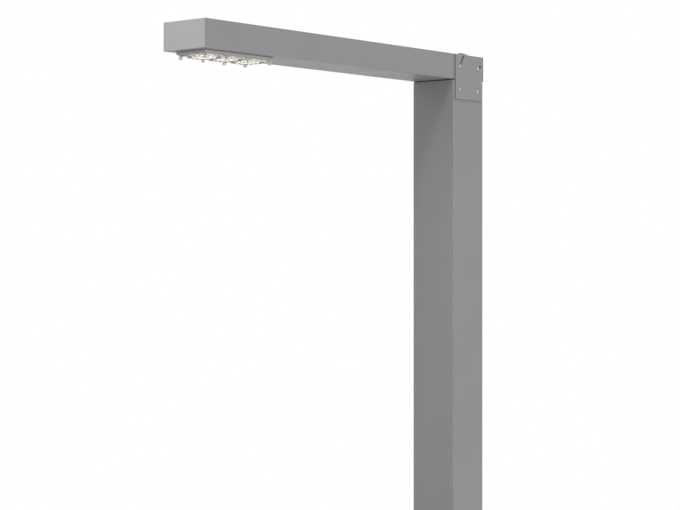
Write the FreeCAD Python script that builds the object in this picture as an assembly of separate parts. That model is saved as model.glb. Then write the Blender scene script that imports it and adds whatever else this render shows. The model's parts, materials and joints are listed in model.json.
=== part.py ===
"""Street lamp post: a square steel post, a box-section arm across its top and an LED module under the tip.

Frame: millimetres, +Z up, origin on the post's axis at the underside of the base plate.
The arm reaches towards -X. The service door is in the post's +X face, away from the arm.
Two side plates are bolted to the post. The arm's bolts run in curved slots in those plates, so the arm
tilts by up to 15 degrees about its own rear lower edge. Each function below makes one group of pieces.
"""
import FreeCAD, Part
import math
import os

V = FreeCAD.Vector
X, Y, Z = V(1, 0, 0), V(0, 1, 0), V(0, 0, 1)

# ---- driving dimensions -------------------------------------------------------------------------------
OVERALL_HEIGHT = 4000.0      # ground to the arm's top face
SIDE = 150.0                 # side of the square post, and the arm's width
ARM_LENGTH = 1200.0          # arm's tip to the post's rear face
ARM_HEIGHT = 75.0
TILT_MAX = 15.0              # degrees
POST_WALL = 5.0
POST_RADIUS = 2.0            # outer corner radius of the welded plate section
ARM_WALL = 4.0
ARM_RADIUS = 1.5
SHADOW_GAP = 3.0             # between the post's top and the arm's underside
RUN_GAP = 0.3                # between pieces that move against each other
FIT = 0.05                   # between a screw and its thread, or a pin and its hole

# ---- places worked out from them ----------------------------------------------------------------------
HALF = SIDE / 2
ARM_HALF = HALF - RUN_GAP                 # the arm clears the side plates by the running gap
ARM_TIP = HALF - ARM_LENGTH
ARM_BOTTOM = OVERALL_HEIGHT - ARM_HEIGHT
ARM_MIDDLE = ARM_BOTTOM + ARM_HEIGHT / 2
POST_TOP = ARM_BOTTOM - SHADOW_GAP
POST_INNER = HALF - POST_WALL
ARM_INNER = ARM_HALF - ARM_WALL
PIVOT = V(HALF, 0, ARM_BOTTOM)            # the arm turns about its rear lower edge

# ---- base ---------------------------------------------------------------------------------------------
BASE_SIDE, BASE_THICK, BASE_RADIUS = 300.0, 16.0, 12.0
BASE_HOLE_R, BASE_HOLE_OFFSET = 11.0, 100.0
CABLE_ENTRY_R = 50.0
WELD = 6.0

# ---- side plates and their bolts ----------------------------------------------------------------------
PLATE_THICK = 4.0
PLATE_FRONT, PLATE_REAR = -67.0, 63.0     # the plate's edges along X
PLATE_BELOW, PLATE_TOP_GAP = 59.0, 1.3    # below the arm's underside, and short of the arm's top
BUMP_START, BUMP_TOP, BUMP_END = -58.0, -36.0, -2.0
BUMP_RISE = 5.0
BOLT_X = 45.0
LOWER_BOLT_DROP = 31.0
BOLT_R, BOLT_LENGTH = 4.0, 16.0            # M8 button-head bolts
HEAD_R, HEAD_HEIGHT, HEAD_RIM = 7.0, 4.4, 0.8
SOCKET_FLATS, SOCKET_DEPTH = 5.0, 2.4
CLEAR_R = 4.5                             # clearance hole and slot half-width for M8
NUT_BAR = (130.0, 8.0, 25.0)

# ---- door ---------------------------------------------------------------------------------------------
DOOR_HALF_W, DOOR_HALF_H, DOOR_MID = 48.0, 198.0, 850.0
DOOR_GAP, DOOR_RADIUS, DOOR_THICK = 2.0, 14.0, 4.0
FRAME_LIP, FRAME_OUT = 4.0, 15.0          # inwards and outwards of the opening's edge
HINGE_X, HINGE_Y = HALF + 4.5, DOOR_HALF_W + 3.0
HINGE_R, HINGE_PIN_R, HINGE_Z = 4.0, 2.0, 135.0
HINGE_TALL, HINGE_SEGMENTS, LEAF_THICK, LEAF_REACH = 60.0, 5, 3.0, 17.5
LOCK_Y = -31.0

# ---- LED module ---------------------------------------------------------------------------------------
MODULE_INSET, MODULE_LENGTH, MODULE_WIDTH = 23.0, 260.0, 104.0
MODULE_GASKET, MODULE_FLANGE = 1.0, 8.0
NECK_LENGTH, NECK_WIDTH = 240.0, 88.0
TILE_COUNT, TILE_PITCH, TILE_WIDTH, TILE_THICK = 3, 80.5, 98.0, 3.0
TILE_GAP = 0.4
BOSS_Y, BOSS_R, BOSS_HEIGHT = 44.0, 5.5, 9.0
PILLAR_R = 3.6                            # the metal pillars between the tiles, under each clamp cap
CLAMP_SEAT = 1.5                          # the clamp cap's floor, under the screw's head
CLAMP_HEAD_R, CLAMP_HEAD_H = 3.5, 5.5
LENS_ROWS, LENS_PITCH_X, LENS_PITCH_Y = 4, 16.5, 17.5
LENS_R, LENS_HEIGHT, LENS_SPLIT = 6.4, 6.0, 2.2
BOARD_THICK, CHIP_SIZE, CHIP_THICK = 1.6, 3.5, 0.8
FIN_COUNT, FIN_THICK, FIN_TOP = 9, 2.5, 36.0

MODULE_X0 = ARM_TIP + MODULE_INSET
MODULE_X1 = MODULE_X0 + MODULE_LENGTH
MODULE_MID = (MODULE_X0 + MODULE_X1) / 2
FLANGE_TOP = ARM_BOTTOM - MODULE_GASKET
FLANGE_BOTTOM = FLANGE_TOP - MODULE_FLANGE
TILE_BOTTOM = FLANGE_BOTTOM - TILE_THICK
POCKET_HALF_X, POCKET_HALF_Y, POCKET_DEPTH = 34.0, 37.0, 3.0
BOSS_XS = [MODULE_MID + TILE_PITCH * (k - TILE_COUNT / 2) for k in range(TILE_COUNT + 1)]
TILE_XS = [(a + b) / 2 for a, b in zip(BOSS_XS, BOSS_XS[1:])]

# ---- cable --------------------------------------------------------------------------------------------
CABLE_R = 4.5
CABLE_HOLE_X, CABLE_HOLE_R = 30.0, 20.0
SPARE_BORE_R, SPARE_BORE_Y = 6.0, 12.5    # a second bore in each grommet, for a control cable or draw-wire
RISER_X = -36.0                           # the cable's place in the post
RISER_TOP = POST_TOP - 170.0


# ---- small shape helpers ------------------------------------------------------------------------------
def block(x0, x1, y0, y1, z0, z1):
    """A box between two corners."""
    return Part.makeBox(x1 - x0, y1 - y0, z1 - z0, V(x0, y0, z0))


def slab(mid_x, half_x, half_y, z0, z1):
    """A box centred on y = 0 and on one X."""
    return block(mid_x - half_x, mid_x + half_x, -half_y, half_y, z0, z1)


def rod(radius, start, end):
    """A cylinder from one point to another."""
    return Part.makeCylinder(radius, (end - start).Length, start, end - start)


def ring(outer, inner, start, end):
    """A tube from one point to another."""
    return rod(outer, start, end).cut(rod(inner, start, end))


def fused(shapes):
    """One solid made of several that touch or overlap."""
    first, rest = shapes[0], shapes[1:]
    return first.multiFuse(rest).removeSplitter() if rest else first


def rounded_face(origin, u, v, half_u, half_v, radius):
    """A rectangle with round corners, centred on origin in the plane of u and v."""
    edges = []
    a, b, s = half_u - radius, half_v - radius, radius * math.sqrt(0.5)
    corners = [(a, b, 1, 1), (-a, b, -1, 1), (-a, -b, -1, -1), (a, -b, 1, -1)]

    def at(p, q):
        return origin + u * p + v * q

    arcs = []
    for k, (p, q, su, sv) in enumerate(corners):
        near = (p + su * radius, q) if k % 2 == 0 else (p, q + sv * radius)
        far = (p, q + sv * radius) if k % 2 == 0 else (p + su * radius, q)
        arcs.append((at(*near), at(p + su * s, q + sv * s), at(*far)))
    for k, (start, middle, end) in enumerate(arcs):
        edges.append(Part.Arc(start, middle, end).toShape())
        edges.append(Part.LineSegment(end, arcs[(k + 1) % 4][0]).toShape())
    return Part.Face(Part.Wire(edges))


def rounded_bar(origin, u, v, half_u, half_v, radius, along):
    """A bar of rounded rectangular section, extruded by the vector along."""
    return rounded_face(origin, u, v, half_u, half_v, radius).extrude(along)


def hexagon(centre, axis, side_dir, flats, height):
    """A hexagonal prism that starts at centre and runs along axis."""
    across = axis.cross(side_dir)
    r = flats / math.sqrt(3)
    turns = [math.radians(60 * k) for k in range(6)]
    points = [centre + side_dir * (r * math.cos(t)) + across * (r * math.sin(t)) for t in turns]
    return Part.Face(Part.makePolygon(points + points[:1])).extrude(axis * height)


def button_bolt(seat, axis):
    """An M8 bolt with a low domed head and a hexagon socket: the head stands on seat along axis."""
    crown = HEAD_HEIGHT - HEAD_RIM
    ball = (HEAD_R**2 + crown**2) / (2 * crown)
    half_way = math.asin(HEAD_R / ball) / 2
    rim, top = seat + X * HEAD_R, seat + axis * HEAD_HEIGHT
    shoulder = top + X * (ball * math.sin(half_way)) - axis * (ball * (1 - math.cos(half_way)))
    outline = Part.Wire([
        Part.LineSegment(seat, rim).toShape(),
        Part.LineSegment(rim, rim + axis * HEAD_RIM).toShape(),
        Part.Arc(rim + axis * HEAD_RIM, shoulder, top).toShape(),
        Part.LineSegment(top, seat).toShape()])
    head = Part.Face(outline).revolve(seat, axis, 360)
    floor = seat + axis * (HEAD_HEIGHT - SOCKET_DEPTH)
    socket = hexagon(floor, axis, Z, SOCKET_FLATS, SOCKET_DEPTH)
    return fused([head.cut(socket), rod(BOLT_R, seat + axis * HEAD_RIM, seat - axis * BOLT_LENGTH)])


def countersunk(seat, axis, radius, length, head_r):
    """A countersunk screw, flush at seat, whose shank runs against axis, with a socket in its head."""
    depth = head_r - radius
    cone = Part.makeCone(head_r, radius, depth, seat, axis * -1)
    shank = rod(radius, seat - axis * (depth * 0.9), seat - axis * length)
    return fused([cone, shank]).cut(rod(radius * 0.6, seat, seat - axis * (depth * 0.8)))


def pan_screw(seat, axis, radius, length, head_r, head_h):
    """A pan-head screw: its head stands on seat along axis."""
    head = Part.makeCone(head_r, head_r * 0.8, head_h, seat, axis)
    socket = rod(radius * 0.6, seat + axis * (head_h * 0.4), seat + axis * head_h)
    return fused([head, rod(radius, seat, seat - axis * length)]).cut(socket)


def cap_screw(seat, axis, radius, length, head_r, head_h):
    """A socket cap screw: its straight head stands on seat along axis, with a hexagon socket."""
    head = rod(head_r, seat, seat + axis * head_h)
    rim = [e for e in head.Edges if e.Closed and (e.CenterOfMass - seat).dot(axis) > head_h - 0.01]
    socket = hexagon(seat + axis * (head_h * 0.45), axis, X, head_r * 0.8, head_h)
    return fused([head.makeFillet(0.5, rim), rod(radius, seat, seat - axis * length)]).cut(socket)


def routed_tube(points, radius):
    """A tube along straight runs joined by tangent arcs, each as large as its two runs allow."""
    edges, start = [], points[0]
    for before, corner, after in zip(points, points[1:], points[2:]):
        into, out = (corner - before), (after - corner)
        reach = 0.45 * min(into.Length, out.Length)
        turn = into.getAngle(out)
        into.normalize()
        out.normalize()
        bend = reach / math.tan(turn / 2)
        print("bend radius %.0f mm" % bend)
        first, last = corner - into * reach, corner + out * reach
        bisector = out - into
        bisector.normalize()
        centre = corner + bisector * (bend / math.cos(turn / 2))
        edges.append(Part.LineSegment(start, first).toShape())
        edges.append(Part.Arc(first, centre - bisector * bend, last).toShape())
        start = last
    edges.append(Part.LineSegment(start, points[-1]).toShape())
    path = Part.Wire(edges)
    way = points[1] - points[0]
    section = Part.Wire(Part.Circle(points[0], way, radius).toShape())
    tube = path.makePipeShell([section], True, False)
    expected = math.pi * radius**2 * path.Length
    print("tube of %.0f mm, volume is %.3f of section times length" % (path.Length, tube.Volume / expected))
    return tube


def save(name, *solids):
    """Writes one node: a single solid, or a group of separate solids."""
    shape = solids[0] if len(solids) == 1 else Part.makeCompound(list(solids))
    shape.exportStep("parts/%s.step" % name)
    print("%-24s %2d solid(s), valid %s" % (name, len(shape.Solids), shape.isValid()))


# ---- the post -----------------------------------------------------------------------------------------
def make_base():
    plate = rounded_bar(V(0, 0, 0), X, Y, BASE_SIDE / 2, BASE_SIDE / 2, BASE_RADIUS, Z * BASE_THICK)
    plate = plate.cut(rod(CABLE_ENTRY_R, V(0, 0, -1), V(0, 0, BASE_THICK + 1)))
    for sx in (-1, 1):
        for sy in (-1, 1):
            at = V(sx * BASE_HOLE_OFFSET, sy * BASE_HOLE_OFFSET, -1)
            plate = plate.cut(rod(BASE_HOLE_R, at, at + Z * (BASE_THICK + 2)))
    lower = rounded_face(V(0, 0, BASE_THICK), X, Y, HALF + WELD, HALF + WELD, POST_RADIUS + WELD)
    upper = rounded_face(V(0, 0, BASE_THICK + WELD), X, Y, HALF + 0.2, HALF + 0.2, POST_RADIUS)
    bead = Part.makeLoft([lower.OuterWire, upper.OuterWire], True, True)
    bead = bead.cut(rounded_bar(V(0, 0, BASE_THICK), X, Y, HALF, HALF, POST_RADIUS, Z * WELD * 2))
    save("base_plate", fused([plate, bead]))


def plate_bolt_places(side):
    """Bolt axes at the face of the given side (-1 front, +1 back): two in the post, two in the arm."""
    lower = [V(x, side * HALF, ARM_BOTTOM - LOWER_BOLT_DROP) for x in (-BOLT_X, BOLT_X)]
    upper = [V(x, side * HALF, ARM_MIDDLE) for x in (-BOLT_X, BOLT_X)]
    return lower, upper


def door_opening(extra, depth_from, depth_to):
    """A rounded block over the door opening, larger than the door by extra, between two depths along X."""
    return rounded_bar(
        V(depth_from, 0, DOOR_MID), Y, Z, DOOR_HALF_W + extra, DOOR_HALF_H + extra,
        DOOR_RADIUS + extra, X * (depth_to - depth_from))


def make_post():
    height = POST_TOP - BASE_THICK
    outer = rounded_bar(V(0, 0, BASE_THICK), X, Y, HALF, HALF, POST_RADIUS, Z * height)
    inner = rounded_bar(V(0, 0, BASE_THICK), X, Y, POST_INNER, POST_INNER, 2.0, Z * height)
    tube = outer.cut(inner).cut(door_opening(DOOR_GAP, POST_INNER - 2, HALF + 2))
    for side in (-1, 1):
        for at in plate_bolt_places(side)[0]:
            tube = tube.cut(rod(CLEAR_R, at - Y * 10, at + Y * 10))
    save("post_tube", tube)

    top_half = POST_INNER - 0.1
    top = rounded_bar(V(0, 0, POST_TOP - 4), X, Y, top_half, top_half, 2.0, Z * 4)
    hole_low, hole_high = V(CABLE_HOLE_X, 0, POST_TOP - 10), V(CABLE_HOLE_X, 0, POST_TOP + 5)
    save("post_top_plate", top.cut(rod(CABLE_HOLE_R, hole_low, hole_high)))

    seal_thick = SHADOW_GAP - RUN_GAP
    seal = rounded_bar(V(0, 0, POST_TOP), X, Y, HALF - 4, HALF - 4, 3.0, Z * seal_thick)
    save("joint_seal", seal.cut(rounded_bar(V(0, 0, POST_TOP), X, Y, 61, 61, 2.0, Z * seal_thick)))


def make_grommet(name, plate_low, plate_high, lip_low, lip_high):
    """A rubber grommet in the hole of a plate between two heights, with the cable's bore and a spare one."""
    bore = CABLE_R + 0.25
    waist_r = CABLE_HOLE_R - FIT

    def at(z):
        return V(CABLE_HOLE_X, 0, z)

    waist = ring(waist_r, bore, at(plate_low - lip_low), at(plate_high + lip_high))
    lower = ring(CABLE_HOLE_R + 4, bore, at(plate_low - lip_low), at(plate_low))
    upper = ring(CABLE_HOLE_R + 4, bore, at(plate_high), at(plate_high + lip_high))
    spare = at(plate_low - lip_low - 1) + Y * SPARE_BORE_Y
    through = Z * (plate_high - plate_low + lip_low + lip_high + 2)
    save(name, fused([waist, lower, upper]).cut(rod(SPARE_BORE_R, spare, spare + through)))


def slot_cutter(bolt, side):
    """The curved slot that a bolt of the arm sweeps as the arm tilts, a little longer at both ends."""
    arm = V(bolt.x - PIVOT.x, 0, bolt.z - PIVOT.z)
    r, start = arm.Length, math.atan2(arm.z, arm.x)
    spare = math.radians(0.25) * 120 / r
    first, last = start + spare, start - math.radians(TILT_MAX) - spare
    y0, reach = side * (HALF - 1), side * (PLATE_THICK + 2)

    def at(angle, radius):
        return V(PIVOT.x + radius * math.cos(angle), y0, PIVOT.z + radius * math.sin(angle))

    middle = (first + last) / 2
    inner, outer = r - CLEAR_R, r + CLEAR_R
    wire = Part.Wire([
        Part.Arc(at(first, inner), at(middle, inner), at(last, inner)).toShape(),
        Part.LineSegment(at(last, inner), at(last, outer)).toShape(),
        Part.Arc(at(last, outer), at(middle, outer), at(first, outer)).toShape(),
        Part.LineSegment(at(first, outer), at(first, inner)).toShape()])
    ends = [rod(CLEAR_R, at(a, r), at(a, r) + Y * reach) for a in (first, last)]
    return fused([Part.Face(wire).extrude(Y * reach)] + ends)


def make_side_plate(name, side):
    """A plate with a raised lobe over its long slot. Its corners are broken by 1.5 mm."""
    low, high = ARM_BOTTOM - PLATE_BELOW, OVERALL_HEIGHT - PLATE_TOP_GAP
    y = side * HALF
    c = 1.5

    def at(x, z):
        return V(x, y, z)

    quarter = BUMP_TOP + (BUMP_END - BUMP_TOP) / 2
    shoulder = high + 0.66 * BUMP_RISE
    outline = Part.Wire([
        Part.LineSegment(at(PLATE_FRONT + c, low), at(PLATE_REAR - c, low)).toShape(),
        Part.LineSegment(at(PLATE_REAR - c, low), at(PLATE_REAR, low + c)).toShape(),
        Part.LineSegment(at(PLATE_REAR, low + c), at(PLATE_REAR, high - c)).toShape(),
        Part.LineSegment(at(PLATE_REAR, high - c), at(PLATE_REAR - c, high)).toShape(),
        Part.LineSegment(at(PLATE_REAR - c, high), at(BUMP_END, high)).toShape(),
        Part.Arc(at(BUMP_END, high), at(quarter, shoulder), at(BUMP_TOP, high + BUMP_RISE)).toShape(),
        Part.Arc(at(BUMP_TOP, high + BUMP_RISE), at(BUMP_START + 7.5, high + 0.62 * BUMP_RISE),
                 at(BUMP_START, high)).toShape(),
        Part.LineSegment(at(BUMP_START, high), at(PLATE_FRONT + c, high)).toShape(),
        Part.LineSegment(at(PLATE_FRONT + c, high), at(PLATE_FRONT, high - c)).toShape(),
        Part.LineSegment(at(PLATE_FRONT, high - c), at(PLATE_FRONT, low + c)).toShape(),
        Part.LineSegment(at(PLATE_FRONT, low + c), at(PLATE_FRONT + c, low)).toShape()])
    plate = Part.Face(outline).extrude(Y * side * PLATE_THICK)
    lower, upper = plate_bolt_places(side)
    for place in lower:
        plate = plate.cut(rod(CLEAR_R, place - Y * 10, place + Y * 10))
    for place in upper:
        plate = plate.cut(slot_cutter(place, side))
    save(name, plate)


def nut_bar(side, inner_face, height, places):
    """A flat bar, welded inside a wall, with two threaded holes for the M8 bolts."""
    length, thick, tall = NUT_BAR
    y0, y1 = sorted((side * inner_face, side * (inner_face - thick)))
    bar = block(-length / 2, length / 2, y0, y1, height - tall / 2, height + tall / 2)
    for place in places:
        bar = bar.cut(rod(BOLT_R + FIT, V(place.x, y0 - 1, place.z), V(place.x, y1 + 1, place.z)))
    return bar


def make_joint_hardware():
    outer = HALF + PLATE_THICK
    post_bars, arm_bars, plate_bolts, tilt_bolts = [], [], [], []
    for side, word in ((-1, "front"), (1, "back")):
        out = Y * side
        lower, upper = plate_bolt_places(side)
        make_side_plate("side_plate_" + word, side)
        post_bars.append(nut_bar(side, POST_INNER, ARM_BOTTOM - LOWER_BOLT_DROP, lower))
        arm_bars.append(nut_bar(side, ARM_INNER, ARM_MIDDLE, upper))
        plate_bolts += [button_bolt(V(p.x, side * outer, p.z), out) for p in lower]
        tilt_bolts += [button_bolt(V(p.x, side * (outer + RUN_GAP), p.z), out) for p in upper]
    save("post_nut_bars", *post_bars)
    save("arm_nut_bars", *arm_bars)
    save("plate_bolts", *plate_bolts)
    save("tilt_bolts", *tilt_bolts)


# ---- the service door ---------------------------------------------------------------------------------
def hinge_leaf(z_mid, towards, own_segments):
    """A leaf on the face, on the side that towards gives, and its own segments of the hinge's barrel."""
    step, z0 = HINGE_TALL / HINGE_SEGMENTS, z_mid - HINGE_TALL / 2
    y_near, y_far = HINGE_Y + towards * (HINGE_R + 0.4), HINGE_Y + towards * LEAF_REACH
    pieces = [block(HALF, HALF + LEAF_THICK, *sorted((y_near, y_far)), z0, z0 + HINGE_TALL)]
    for k in own_segments:
        low, high = z0 + k * step + RUN_GAP / 2, z0 + (k + 1) * step - RUN_GAP / 2
        pieces.append(rod(HINGE_R, V(HINGE_X, HINGE_Y, low), V(HINGE_X, HINGE_Y, high)))
        pieces.append(block(HALF + 0.6, HALF + LEAF_THICK, *sorted((HINGE_Y, y_near)), low, high))
    bore_low, bore_high = V(HINGE_X, HINGE_Y, z0 - 1), V(HINGE_X, HINGE_Y, z0 + HINGE_TALL + 1)
    return fused(pieces).cut(rod(HINGE_PIN_R + FIT, bore_low, bore_high))


def make_door():
    inner = POST_INNER
    frame = door_opening(DOOR_GAP + FRAME_OUT, inner - 5, inner)
    save("door_frame", frame.cut(door_opening(DOOR_GAP - FRAME_LIP, inner - 6, inner + 1)))

    seal = door_opening(-0.3, inner, HALF - DOOR_THICK - RUN_GAP)
    save("door_seal", seal.cut(door_opening(DOOR_GAP - FRAME_LIP, inner - 1, HALF)))

    lock_axis = V(HALF, LOCK_Y, DOOR_MID)
    panel = door_opening(0, HALF - DOOR_THICK, HALF)
    panel = panel.cut(rod(9.0, lock_axis - X * 20, lock_axis + X * 5))
    save("door_panel", panel)

    mids = (DOOR_MID - HINGE_Z, DOOR_MID + HINGE_Z)
    save("post_hinge_leaves", *[hinge_leaf(z, 1, (0, 2, 4)) for z in mids])
    save("door_hinge_leaves", *[hinge_leaf(z, -1, (1, 3)) for z in mids])
    pins = []
    for z in mids:
        low, high = V(HINGE_X, HINGE_Y, z - HINGE_TALL / 2), V(HINGE_X, HINGE_Y, z + HINGE_TALL / 2)
        caps = [rod(HINGE_R - 0.6, high, high + Z * 1.5), rod(HINGE_R - 0.6, low - Z * 1.5, low)]
        pins.append(fused([rod(HINGE_PIN_R, low, high)] + caps))
    save("hinge_pins", *pins)

    # cam lock: a flanged housing clamped by a nut, and a core with a three-sided drive that turns the cam
    housing = fused([rod(8.9, lock_axis - X * 12, lock_axis), rod(11.5, lock_axis, lock_axis + X * 1.8)])
    save("lock_housing", housing.cut(rod(6.0 + FIT, lock_axis - X * 20, lock_axis + X * 5)))
    nut = hexagon(lock_axis - X * (DOOR_THICK + 4), X, Z, 21.0, 4.0)
    save("lock_nut", nut.cut(rod(8.9, lock_axis - X * 20, lock_axis)))
    cam_face = lock_axis - X * 15.2
    barrel_end = lock_axis - X * 12.2
    core = fused([rod(6.0, barrel_end, lock_axis + X * 1.2), rod(3.0, cam_face, barrel_end)])
    core = core.cut(rod(2.0 + FIT, cam_face, lock_axis - X * 7))
    recess = rod(4.8, lock_axis - X * 5, lock_axis + X * 2)
    turns = [math.radians(90 + 120 * k) for k in range(3)]
    points = [V(HALF - 5, LOCK_Y + 4.2 * math.cos(t), DOOR_MID + 4.2 * math.sin(t)) for t in turns]
    drive = Part.Face(Part.makePolygon(points + points[:1])).extrude(X * 5.4)
    save("lock_core", fused([core.cut(recess), drive]))
    cam = block(cam_face.x, cam_face.x + 2.9, LOCK_Y - 6, LOCK_Y + 6, DOOR_MID - 7, DOOR_MID + 24)
    save("lock_cam", cam.cut(rod(3.0 + FIT, lock_axis - X * 20, lock_axis)))
    cam_head = hexagon(cam_face - X * 3, X, Z, 9.0, 3.0)
    save("cam_screw", fused([cam_head, rod(2.0, cam_face, cam_face + X * 7)]))


# ---- inside the post ----------------------------------------------------------------------------------
BOARD_X = -POST_INNER + 3.0                # face of the mounting board
BOX_Z0, BOX_Z1, BOX_HALF_Y = 845.0, 1005.0, 48.0
BOX_WALL = 2.5
BOX_DEPTH, LID_DEPTH = 42.0, 14.0


def gland(at, axis):
    """A cable gland: a hexagon and a domed nut, with the cable's bore through it."""
    body = hexagon(at, axis, X, 20.0, 5.0)
    cap = Part.makeCone(9.5, 7.5, 9.0, at + axis * 5, axis)
    tail = rod(7.5, at - axis * 6, at)
    return fused([body, cap, tail]).cut(rod(CABLE_R + 0.1, at - axis * 7, at + axis * 15))


def make_post_insides():
    board = block(-POST_INNER, BOARD_X, -58, 58, 690, 1030)
    places = [V(BOARD_X, y, z) for y in (-48, 48) for z in (705, 1015)]
    for place in places:
        board = board.cut(rod(2.6, place - X * 5, place + X * 5))
    save("mounting_board", board)
    save("board_screws", *[pan_screw(p, X, 2.5, 3.0, 4.6, 3.2) for p in places])

    back, front = BOARD_X, BOARD_X + BOX_DEPTH
    base = block(back, front, -BOX_HALF_Y, BOX_HALF_Y, BOX_Z0, BOX_Z1)
    inside_y = BOX_HALF_Y - BOX_WALL
    inside_low, inside_high = BOX_Z0 + BOX_WALL, BOX_Z1 - BOX_WALL
    base = base.cut(block(back + BOX_WALL, front + 1, -inside_y, inside_y, inside_low, inside_high))
    corners = [V(front, y, z) for y in (-42.5, 42.5) for z in (BOX_Z0 + 6, BOX_Z1 - 6)]
    posts = [rod(4.5, V(back + 2, c.y, c.z), c) for c in corners]
    base = fused([base] + posts)
    for c in corners:
        base = base.cut(rod(1.75, c - X * 15, c + X * 1))
    glands = [(V(RISER_X, 0, BOX_Z1), Z), (V(RISER_X, -24, BOX_Z0), Z * -1), (V(RISER_X, 24, BOX_Z0), Z * -1)]
    for at, axis in glands:
        base = base.cut(rod(7.6, at - axis * 5, at + axis * 5))
    save("junction_box", base)
    save("cable_glands", *[gland(at, axis) for at, axis in glands])

    lid = block(front, front + LID_DEPTH, -BOX_HALF_Y, BOX_HALF_Y, BOX_Z0, BOX_Z1)
    lid = lid.makeFillet(3.0, [e for e in lid.Edges if abs(e.CenterOfMass.x - front - LID_DEPTH) < 0.1])
    lid_inside = front + LID_DEPTH - BOX_WALL
    lid = lid.cut(block(front - 1, lid_inside, -36, 36, inside_low, inside_high))
    heads = [V(front + LID_DEPTH - 3, c.y, c.z) for c in corners]
    for h in heads:
        lid = lid.cut(rod(1.9, h - X * 20, h + X * 5)).cut(rod(3.7, h, h + X * 5))
    save("junction_box_lid", lid)
    save("lid_screws", *[pan_screw(h, X, 1.7, 20.0, 3.4, 2.2) for h in heads])

    blocks = []
    for k in range(5):
        y0 = -31 + k * 12.4
        body = block(back + 3, back + 30, y0, y0 + 12, BOX_Z0 + 62, BOX_Z0 + 104)
        for z in (BOX_Z0 + 72, BOX_Z0 + 94):
            body = body.cut(rod(2.4, V(back + 22, y0 + 6, z), V(back + 31, y0 + 6, z)))
        blocks.append(body)
    save("terminal_block", *blocks)
    save("fuse_holder", fused([block(back + 3, back + 34, -14, 14, BOX_Z0 + 14, BOX_Z0 + 52),
                               rod(6.5, V(back + 34, 0, BOX_Z0 + 33), V(back + 38, 0, BOX_Z0 + 33))]))

    stud_at = V(BOARD_X, 0, 745)
    save("earth_stud", rod(4.0, stud_at, stud_at + X * 26))
    stud_hole = rod(4.0 + FIT, stud_at, stud_at + X * 30)
    nuts = [hexagon(stud_at + X * along, X, Z, 13.0, 6.5).cut(stud_hole) for along in (0.2, 9.5)]
    save("earth_nuts", *nuts)

    clip_z = RISER_TOP - 30
    clip = fused([ring(CABLE_R + 2.2, CABLE_R + 0.1, V(RISER_X, 0, clip_z), V(RISER_X, 0, clip_z + 14)),
                  block(-POST_INNER, RISER_X - CABLE_R - 0.6, -1.2, 1.2, clip_z, clip_z + 14),
                  block(-POST_INNER, -POST_INNER + 2.4, -14, 14, clip_z, clip_z + 14)])
    save("cable_clip", clip)


def make_cables():
    riser_start = V(RISER_X, 0, BOX_Z1 - 30)
    riser_end = V(RISER_X, 0, RISER_TOP)
    save("post_cable", rod(CABLE_R, riser_start, riser_end))

    # up through both grommets, over into the arm and along to its terminals
    bend_top, lead_z = ARM_BOTTOM + 50, TRAY_TOP + 11
    loop = [riser_end, riser_end + Z * 60, V(CABLE_HOLE_X, 0, POST_TOP - 50), V(CABLE_HOLE_X, 0, bend_top),
            V(-60, 0, bend_top), V(-130, 0, lead_z), V(TERMINAL_X1, 0, lead_z)]
    save("cable_slack_loop", routed_tube(loop, CABLE_R))

    out_z = TRAY_TOP + 17
    bends = [V(-315, -7.2, lead_z), V(-370, -7.2, out_z)]
    lead = [V(TERMINAL_X0, -7.2, lead_z), *bends, V(DRIVER_X1, -7.2, out_z)]
    save("driver_lead", routed_tube(lead, 3.5))
    output = [V(DRIVER_X0, 12, out_z), V(DRIVER_X0 - 65, 12, out_z), V(MODULE_X1 + 75, 0, out_z),
              V(MODULE_X1 + GLAND_REACH, 0, out_z)]
    save("module_cable", routed_tube(output, 3.5))


# ---- the arm ------------------------------------------------------------------------------------------
ARM_END = HALF - 1.0                        # the rear gasket fills the last millimetre
REAR_CAP_THICK = 3.5
TRAY_TOP = ARM_BOTTOM + ARM_WALL + 2.0
TRAY_X0, TRAY_X1, TRAY_HALF = -700.0, 62.0, 56.0
DRIVER_X0, DRIVER_X1 = -600.0, -420.0
TERMINAL_X0, TERMINAL_X1 = -262.0, -205.0
GLAND_REACH = 5.0                           # the module gland's end, past the module's rear edge
CAP_SCREWS = [(y, z) for y in (-1, 1) for z in (ARM_BOTTOM + 10, OVERALL_HEIGHT - 10)]


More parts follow.
